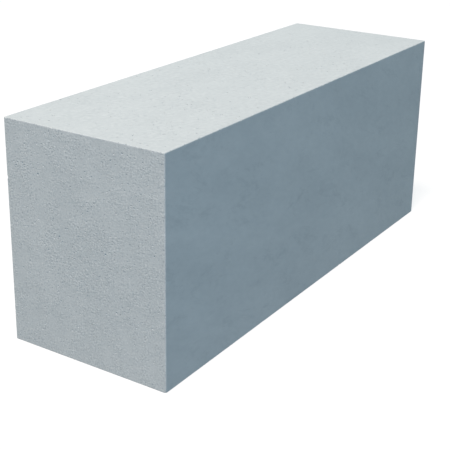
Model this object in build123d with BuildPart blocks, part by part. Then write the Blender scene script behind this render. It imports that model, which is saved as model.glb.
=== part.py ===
from build123d import *
import os

# A solid autoclaved aerated concrete block, as it is laid in a wall.
# It is one piece, cut by wires from a large risen cake, so its six faces are flat and square
# to each other, and the brittle arrises lose about a millimetre in handling.
# Frame: millimetres, +X along the length, +Y across the width, +Z up.
# Origin: centre of the bottom bed face.

# Driving dimensions of the wire-cut block
block_length = 600.0
block_width = 200.0
block_height = 250.0

# Wear that rounds every arris of the brittle cellular concrete
arris_radius = 1.0

# The bed face is drawn on the floor plane and raised to the course height
with BuildPart() as block:
    with BuildSketch(Plane.XY):
        Rectangle(block_length, block_width)
    extrude(amount=block_height)
    # All twelve arrises are worn alike: four upright ones, and four around each bed face
    fillet(block.edges(), radius=arris_radius)

block.part.label = "block"

os.makedirs("parts", exist_ok=True)
export_step(block.part, "parts/block.step")
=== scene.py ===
from itertools import product
from math import radians

import bmesh
import bpy
import numpy as np
from mathutils import Euler, Matrix, Vector
from mathutils.kdtree import KDTree


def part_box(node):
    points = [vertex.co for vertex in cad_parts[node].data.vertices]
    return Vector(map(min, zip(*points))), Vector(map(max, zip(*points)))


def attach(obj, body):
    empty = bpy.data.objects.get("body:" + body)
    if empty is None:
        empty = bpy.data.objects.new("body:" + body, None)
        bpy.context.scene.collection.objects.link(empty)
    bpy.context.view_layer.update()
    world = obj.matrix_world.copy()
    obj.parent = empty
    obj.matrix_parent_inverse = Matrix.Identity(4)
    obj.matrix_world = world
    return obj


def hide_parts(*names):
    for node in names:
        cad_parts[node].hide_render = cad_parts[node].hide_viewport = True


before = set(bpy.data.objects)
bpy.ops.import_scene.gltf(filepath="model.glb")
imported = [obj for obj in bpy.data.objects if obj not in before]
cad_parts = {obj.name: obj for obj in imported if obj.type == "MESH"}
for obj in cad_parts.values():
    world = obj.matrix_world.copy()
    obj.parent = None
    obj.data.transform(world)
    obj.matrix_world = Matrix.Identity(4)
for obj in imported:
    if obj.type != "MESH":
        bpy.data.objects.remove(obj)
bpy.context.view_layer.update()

# The block
# One piece of autoclaved aerated concrete: sand, lime and cement that rise with gas like a dough, are
# cut into blocks by tight wires while still soft, and are then hardened in steam. The wires slice open
# the gas bubbles, so each flat face is pitted with round pores, and handling crumbles the brittle arrises.
MM = 0.001
axes = X, Y, Z = range(3)
block_low, block_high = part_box("block")
block_size = block_high - block_low
block_centre = (block_low + block_high) / 2
arris_radius = 1.0 * MM
arris_segments = 3
blunt_length = 2.5 * MM
panel_size = 25.0 * MM

solid = bmesh.new()
block_place = Matrix.Translation(block_centre) @ Matrix.Diagonal((*block_size, 1.0))
bmesh.ops.create_cube(solid, size=1.0, matrix=block_place)
# One bottom corner has been knocked blunt, and all the arrises are worn round
knocked_corner = min(solid.verts, key=lambda corner: (corner.co - block_low).length)
bmesh.ops.bevel(solid, geom=[knocked_corner], offset=blunt_length, segments=1, profile=0.5,
                affect="VERTICES", material=-1)
bmesh.ops.bevel(solid, geom=solid.edges[:], offset=arris_radius, segments=arris_segments, profile=0.5,
                affect="EDGES", material=-1)
# Even panels keep the triangles between the pores short
for axis in axes:
    panels = round(block_size[axis] / panel_size)
    across = Vector((0.0, 0.0, 0.0))
    across[axis] = 1.0
    on_cut = block_low.copy()
    for cut in range(1, panels):
        on_cut[axis] = block_low[axis] + block_size[axis] * cut / panels
        bmesh.ops.bisect_plane(solid, geom=solid.verts[:] + solid.edges[:] + solid.faces[:],
                               plane_co=on_cut, plane_no=across)
block_mesh = bpy.data.meshes.new("aerated_block")
solid.to_mesh(block_mesh)
solid.free()
block = bpy.data.objects.new("aerated_block", block_mesh)
bpy.context.scene.collection.objects.link(block)

# What is missing from the solid: hollows, each with its shape, middle, half sizes and turn. Chips and deep
# pores are balls of twenty facets. Crumbs and shallow pores have eight, because there are thousands.
round_hollow = bmesh.new()
bmesh.ops.create_icosphere(round_hollow, subdivisions=1, radius=1.0)
sharp_hollow = bmesh.new()
bmesh.ops.create_uvsphere(sharp_hollow, u_segments=4, v_segments=2, radius=1.0)
dice_seed = 7
dice = np.random.default_rng(dice_seed)
full_turn = radians(360.0)
hollows = []

# Chips and crumbs broken out of the arrises, longer along the arris than deep
chip_radius = (1.0 * MM, 1.6 * MM)
chip_spacing = 240.0 * MM
crumb_radius = (0.6 * MM, 1.3 * MM)
crumb_spacing = 7.0 * MM
length_shares = (1.0, 2.2)
for shape, radii, spacing in ((round_hollow, chip_radius, chip_spacing),
                              (sharp_hollow, crumb_radius, crumb_spacing)):
    for along in axes:
        side, other_side = (axis for axis in axes if axis != along)
        for side_end, other_end in product((block_low, block_high), repeat=2):
            for each in range(round(block_size[along] / spacing)):
                radius = dice.uniform(*radii)
                half = Vector((radius, radius, radius))
                half[along] *= dice.uniform(*length_shares)
                middle = Vector(dice.uniform(block_low, block_high))
                middle[side] = side_end[side]
                middle[other_side] = other_end[other_side]
                hollows.append((shape, middle, half, Euler(dice.uniform(0.0, full_turn, 3))))

# Gas bubbles that the wires cut open, some into deep pores and most into shallow ones, with the square
# millimetres of face that there are for each, by the axis that the face looks along. The ends, cut across
# X, are the grainiest, and some pores keep to loose groups. Most real ones are under a millimetre wide,
# and are drawn coarser here so that they show. A pore's depth is a share of its radius, and its middle
# rises out of the face by a share of its depth.
deep_radius = (0.9 * MM, 1.5 * MM)
deep_shares = (0.7, 1.0)
deep_areas = {X: 1500.0, Y: 60000.0, Z: 2500.0}
shallow_radius = {X: (0.8 * MM, 1.4 * MM), Y: (0.5 * MM, 1.0 * MM), Z: (1.2 * MM, 2.4 * MM)}
shallow_shares = {X: (0.35, 0.6), Y: (0.4, 0.7), Z: (0.15, 0.3)}
shallow_areas = {X: 14.0, Y: 900.0, Z: 160.0}
rise_shares = (0.0, 0.3)
group_area = 5000.0
group_reach = 14.0 * MM
grouped_shares = {X: 0.35, Y: 0.7, Z: 0.4}
for axis in axes:
    face_area = block_size[axis - 1] * block_size[axis - 2] / MM**2
    for face_end, outward in ((block_low, -1.0), (block_high, 1.0)):
        groups = dice.uniform(block_low, block_high, (round(face_area / group_area), 3))
        for shape, radii, depth_shares, area in (
                (round_hollow, deep_radius, deep_shares, deep_areas[axis]),
                (sharp_hollow, shallow_radius[axis], shallow_shares[axis], shallow_areas[axis])):
            for each in range(round(face_area / area)):
                radius = dice.uniform(*radii)
                half = Vector((radius, radius, radius))
                half[axis] *= dice.uniform(*depth_shares)
                middle = Vector(dice.uniform(block_low, block_high))
                if dice.random() < grouped_shares[axis]:
                    middle = Vector(dice.normal(dice.choice(groups), group_reach))
                middle[axis] = face_end[axis] + outward * half[axis] * dice.uniform(*rise_shares)
                hollows.append((shape, middle, half, Euler(dice.uniform(0.0, full_turn, 3))))

# A hollow that would run into an earlier one is left out
hollow_gap = 0.15 * MM
reaches = [max(half) for shape, middle, half, turn in hollows]
widest_reach = max(reaches)
near = KDTree(len(hollows))
for index, (shape, middle, half, turn) in enumerate(hollows):
    near.insert(middle, index)
near.balance()
kept = set()
for index, (shape, middle, half, turn) in enumerate(hollows):
    reach = reaches[index] + hollow_gap
    touching = (other in kept and apart < reach + reaches[other]
                for spot, other, apart in near.find_range(middle, reach + widest_reach))
    if not any(touching):
        kept.add(index)

# The kept hollows are joined into one cutter
points = []
facets = []
for index in sorted(kept):
    shape, middle, half, turn = hollows[index]
    first = len(points)
    hollow_place = Matrix.Translation(middle) @ Matrix.Diagonal((*half, 1.0)) @ turn.to_matrix().to_4x4()
    points.extend(hollow_place @ point.co for point in shape.verts)
    facets.extend([first + point.index for point in facet.verts] for facet in shape.faces)
round_hollow.free()
sharp_hollow.free()
cutter_mesh = bpy.data.meshes.new("hollows")
cutter_mesh.from_pydata(points, [], facets)
inside = cutter_mesh.attributes.new("hollow", "FLOAT", "FACE")
inside.data.foreach_set("value", np.ones(len(facets), np.float32))
cutter = bpy.data.objects.new("hollows", cutter_mesh)
bpy.context.scene.collection.objects.link(cutter)

cutting = block.modifiers.new("cut hollows", "BOOLEAN")
cutting.operation = "DIFFERENCE"
cutting.solver = "MANIFOLD"
cutting.object = cutter
cut_mesh = bpy.data.meshes.new_from_object(block.evaluated_get(bpy.context.evaluated_depsgraph_get()))
block.modifiers.clear()
block.data = cut_mesh
bpy.data.objects.remove(cutter)


def read(items, name, width=1):
    """Reads one property of all the mesh's items into an array."""
    values = np.empty(len(items) * width, np.float32)
    items.foreach_get(name, values)
    return values.reshape(-1, width) if width > 1 else values


# Each facet belongs to the flat face that it is nearest to: the three low faces, then the three high ones
in_hollow = read(cut_mesh.attributes["hollow"].data, "value").astype(bool)
cut_mesh.polygons.foreach_set("use_smooth", in_hollow)
facet_middles = read(cut_mesh.polygons, "center", 3)
depths = np.abs(np.hstack((facet_middles - np.array(block_low), facet_middles - np.array(block_high))))
facet_side = depths.argmin(axis=1)

# How the faces are finished, by the axis that they look along: how far the wires tore them, how strongly
# clouds and smudges show, how much painted shade darkens the pores, and the size of their specks. Real
# specks are under a millimetre, and are drawn coarser here so that they show.
tearing = {X: 1.55, Y: 0.04, Z: 0.6}
clouding = {X: 0.9, Y: 1.1, Z: 0.65}
smudging = {X: 0.05, Y: 0.27, Z: 0.05}
pore_shade_amounts = {X: 0.35, Y: 0.15, Z: 0.1}
speck_size = {X: 2.0 * MM, Y: 2.0 * MM, Z: 5.0 * MM}
specks_per_metre = {axis: 1 / speck_size[axis] for axis in axes}
for name, amounts, where in (("torn", tearing, 1.0), ("clouded", clouding, 1.0), ("smudged", smudging, 1.0),
                             ("painted_pore_shade", pore_shade_amounts, in_hollow), ("speck_scale", specks_per_metre, 1.0)):
    by_facet = np.array([amounts[side % len(axes)] for side in facet_side], np.float32) * where
    cut_mesh.attributes.new(name, "FLOAT", "FACE").data.foreach_set("value", by_facet)

# The bake map lays the four long faces one above another, and the two ends beside them
map_gap = 8.0 * MM
map_side = 2 * (block_size[Y] + map_gap + block_size[Z] + map_gap)
column_left = (0.0, block_size[X] + map_gap)
column_height = [0.0, 0.0]
corner_points = read(cut_mesh.vertices, "co", 3)[read(cut_mesh.loops, "vertex_index").astype(int)]
corner_side = np.repeat(facet_side, read(cut_mesh.polygons, "loop_total").astype(int))
flat_map = np.zeros((len(corner_points), 2), np.float32)
for side in range(2 * len(axes)):
    looks_along = side % len(axes)
    map_x, map_y = (axis for axis in axes if axis != looks_along)
    column = int(looks_along == X)
    start = (column_left[column], column_height[column])
    column_height[column] += block_size[map_y] + map_gap
    on_side = corner_side == side
    on_map = corner_points[on_side][:, (map_x, map_y)] - (block_low[map_x], block_low[map_y]) + start
    flat_map[on_side] = on_map / map_side
cut_mesh.uv_layers.new(name="OFBake").uv.foreach_set("vector", flat_map.ravel())


def linear(hex_colour):
    """Turns an sRGB hex colour into linear red, green, blue and alpha."""
    parts = [int(hex_colour[at:at + 2], 16) / 255 for at in (1, 3, 5)]
    return (*(c / 12.92 if c <= 0.04045 else ((c + 0.055) / 1.055)**2.4 for c in parts), 1.0)


def add(tree, kind, inputs=None, **settings):
    """Adds a node with its settings, and sets or links its inputs."""
    node = tree.nodes.new(kind)
    for name, value in settings.items():
        setattr(node, name, value)
    for name, value in (inputs or {}).items():
        if isinstance(value, bpy.types.NodeSocket):
            tree.links.new(value, node.inputs[name])
        else:
            node.inputs[name].default_value = value
    return node


# Aerated concrete, cut by wire and hardened in steam, is a dull pale grey. Sand and lime leave it faintly
# clouded and smudged, drawn out along the block at a slant. Cell walls torn by the wires give it a speckle
# and a fine relief, stronger in some patches than in others, and painted shade darkens its open pores.
pale_grey = linear("#DCE4E5")
dark_grey = linear("#BAC4C7")
plain_tone = 0.55
drawn_out = (2.2, 1.0, 1.0)
slant = (0.0, radians(19.0), 0.0)
cloud_size = 90.0 * MM
cloud_detail = 5.0
cloud_roughness = 0.9
smudge_size = 26.0 * MM
smudge_detail = 4.0
smudge_roughness = 0.85
smudge_distortion = 0.4
smudge_starts = 0.46
smudge_is_full = 0.31
patch_size = 16.0 * MM
patch_range = (0.35, 0.65)
patch_shares = (0.5, 1.4)
tear_size = 1.6 * MM
tear_depth = 0.25 * MM
grain_detail = 1.0
noise_middle = 0.5
roughness_range = (0.88, 0.98)
specular_level = 0.3

concrete = bpy.data.materials.new("aerated_concrete")
concrete.use_nodes = True
tree = concrete.node_tree
tree.nodes.clear()
torn, clouded, smudged, painted_pore_shade, speck_scale = (
    add(tree, "ShaderNodeAttribute", attribute_name=name).outputs["Fac"]
    for name in ("torn", "clouded", "smudged", "painted_pore_shade", "speck_scale"))
place = add(tree, "ShaderNodeTexCoord").outputs["Object"]
slanted = add(tree, "ShaderNodeMapping", {"Vector": place, "Rotation": slant, "Scale": drawn_out},
              vector_type="TEXTURE").outputs[0]
clouds = add(tree, "ShaderNodeTexNoise", {
    "Vector": slanted, "Scale": 1 / cloud_size, "Detail": cloud_detail, "Roughness": cloud_roughness})
smears = add(tree, "ShaderNodeTexNoise", {
    "Vector": slanted, "Scale": 1 / smudge_size, "Detail": smudge_detail, "Roughness": smudge_roughness,
    "Distortion": smudge_distortion})
patches = add(tree, "ShaderNodeTexNoise", {"Vector": place, "Scale": 1 / patch_size, "Detail": grain_detail})
specks = add(tree, "ShaderNodeTexNoise", {"Vector": place, "Scale": speck_scale, "Detail": grain_detail})
tears = add(tree, "ShaderNodeTexNoise", {"Vector": place, "Scale": 1 / tear_size, "Detail": grain_detail})

patch_share = add(tree, "ShaderNodeMapRange", {
    "Value": patches.outputs["Fac"], "From Min": patch_range[0], "From Max": patch_range[1],
    "To Min": patch_shares[0], "To Max": patch_shares[1]})
torn_here = add(tree, "ShaderNodeMath", {0: torn, 1: patch_share.outputs[0]}, operation="MULTIPLY")
cloud_swing = add(tree, "ShaderNodeMath", {0: clouds.outputs["Fac"], 1: noise_middle}, operation="SUBTRACT")
speck_swing = add(tree, "ShaderNodeMath", {0: specks.outputs["Fac"], 1: noise_middle}, operation="SUBTRACT")
smudge_swing = add(tree, "ShaderNodeMapRange", {
    "Value": smears.outputs["Fac"], "From Min": smudge_starts, "From Max": smudge_is_full,
    "To Min": 0.0, "To Max": -1.0})
# The tone swings with the clouds and specks and darkens with the smudges, and painted shade darkens the
# pores
tone = plain_tone
for swing, weight in ((cloud_swing.outputs[0], clouded), (smudge_swing.outputs[0], smudged), (painted_pore_shade, -1.0),
                      (speck_swing.outputs[0], torn_here.outputs[0])):
    tone = add(tree, "ShaderNodeMath", {0: swing, 1: weight, 2: tone}, operation="MULTIPLY_ADD").outputs[0]
# The colours of a Mix node are its inputs 6 and 7 and its output 2
colour = add(tree, "ShaderNodeMix", {"Factor": tone, 6: dark_grey, 7: pale_grey}, data_type="RGBA")
dullness = add(tree, "ShaderNodeMapRange", {
    "Value": specks.outputs["Fac"], "To Min": roughness_range[0], "To Max": roughness_range[1]})
relief = add(tree, "ShaderNodeMath", {0: tears.outputs["Fac"], 1: torn_here.outputs[0]},
             operation="MULTIPLY")
bump = add(tree, "ShaderNodeBump", {"Height": relief.outputs[0], "Strength": 1.0, "Distance": tear_depth})
shader = add(tree, "ShaderNodeBsdfPrincipled", {
    "Base Color": colour.outputs[2], "Roughness": dullness.outputs[0], "Specular IOR Level": specular_level,
    "Normal": bump.outputs[0]})
add(tree, "ShaderNodeOutputMaterial", {"Surface": shader.outputs[0]})
cut_mesh.materials.clear()
cut_mesh.materials.append(concrete)

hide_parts("block")
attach(block, "root")

# The floor
# A plain white studio floor that the block stands on. Most of its white is its own glow, and the rest
# comes from the lamps, so that the block's soft shadow shows. It throws only some light back at the block.
floor_side = 12.0
white = linear("#FFFFFF")
bounce_grey = linear("#959595")
shadow_grey = linear("#767676")
floor_glow = 0.87

sheet = bmesh.new()
bmesh.ops.create_grid(sheet, x_segments=1, y_segments=1, size=floor_side / 2)
floor_mesh = bpy.data.meshes.new("floor")
sheet.to_mesh(floor_mesh)
sheet.free()
floor = bpy.data.objects.new("floor", floor_mesh)
bpy.context.scene.collection.objects.link(floor)


def seen(tree):
    """Gives 1 for the rays by which the camera sees a surface, straight, mirrored or through glass."""
    rays = add(tree, "ShaderNodeLightPath").outputs
    shows = rays["Is Camera Ray"]
    for kind in ("Is Glossy Ray", "Is Transmission Ray"):
        shows = add(tree, "ShaderNodeMath", {0: shows, 1: rays[kind]}, operation="MAXIMUM").outputs[0]
    return shows


paint = bpy.data.materials.new("white_floor")
paint.use_nodes = True
tree = paint.node_tree
tree.nodes.clear()
bounce = add(tree, "ShaderNodeBsdfDiffuse", {"Color": bounce_grey})
shade = add(tree, "ShaderNodeBsdfDiffuse", {"Color": shadow_grey})
glow = add(tree, "ShaderNodeEmission", {"Color": white, "Strength": floor_glow})
lit = add(tree, "ShaderNodeAddShader", {0: shade.outputs[0], 1: glow.outputs[0]})
floor_look = add(tree, "ShaderNodeMixShader", {0: seen(tree), 1: bounce.outputs[0], 2: lit.outputs[0]})
add(tree, "ShaderNodeOutputMaterial", {"Surface": floor_look.outputs[0]})
floor_mesh.materials.append(paint)

# The studio light
# A soft key lamp high above the near end, weak cool lamps low on two sides, and an even cool surround
# that the camera sees as white.
surround_colour = linear("#8AE0FF")
surround_strength = 0.2325
surround = bpy.data.worlds.new("surround")
surround.use_nodes = True
bpy.context.scene.world = surround
tree = surround.node_tree
tree.nodes.clear()
dim = add(tree, "ShaderNodeBackground", {"Color": surround_colour, "Strength": surround_strength})
bright = add(tree, "ShaderNodeBackground", {"Color": white, "Strength": 1.0})
sky = add(tree, "ShaderNodeMixShader", {0: seen(tree), 1: dim.outputs[0], 2: bright.outputs[0]})
add(tree, "ShaderNodeOutputWorld", {"Surface": sky.outputs[0]})

# Each lamp's name, place and width in metres, power in watts, and colour
lamps = (
    ("key_lamp", Vector((-4.2, -0.75, 9.5)), 2.0, 1058.0, "#FFECE1"),
    ("fill_lamp", Vector((-2.2, -2.6, 0.7)), 1.2, 17.2, "#B9D9FF"),
    ("back_lamp", Vector((3.0, 3.0, 1.4)), 2.0, 36.0, "#E3F2FF"),
)
for name, lamp_place, width, power, lamp_colour in lamps:
    lamp = bpy.data.lights.new(name, "AREA")
    lamp.size = width
    lamp.energy = power
    lamp.color = linear(lamp_colour)[:3]
    holder = bpy.data.objects.new(name, lamp)
    holder.location = lamp_place
    holder.rotation_euler = (block_centre - lamp_place).to_track_quat("-Z", "Y").to_euler()
    holder.visible_camera = False
    bpy.context.scene.collection.objects.link(holder)

# The camera
# It stands at the photograph's viewpoint, looking down on the near end and the long side. A small lens
# shift keeps the upright edges nearer to parallel, as the photograph has them.
camera_place = Vector((-1.0197, -0.6282, 0.5455))
degrees_from_length = 32.752
degrees_down = 19.779
degrees_of_lean = 0.89
quarter_turn = 90.0
camera_data = bpy.data.cameras.new("camera")
camera_data.sensor_width = 36.0
camera_data.lens = 83.01
camera_data.shift_y = -0.1
camera = bpy.data.objects.new("camera", camera_data)
camera.location = camera_place
camera.rotation_mode = "QUATERNION"
camera_tilt = radians(quarter_turn - degrees_down)
camera_heading = radians(degrees_from_length - quarter_turn)
camera.rotation_quaternion = (Euler((camera_tilt, 0.0, camera_heading)).to_quaternion()
                              @ Euler((0.0, 0.0, radians(degrees_of_lean))).to_quaternion())
bpy.context.scene.collection.objects.link(camera)
bpy.context.scene.camera = camera
bpy.context.scene.view_settings.view_transform = "Standard"
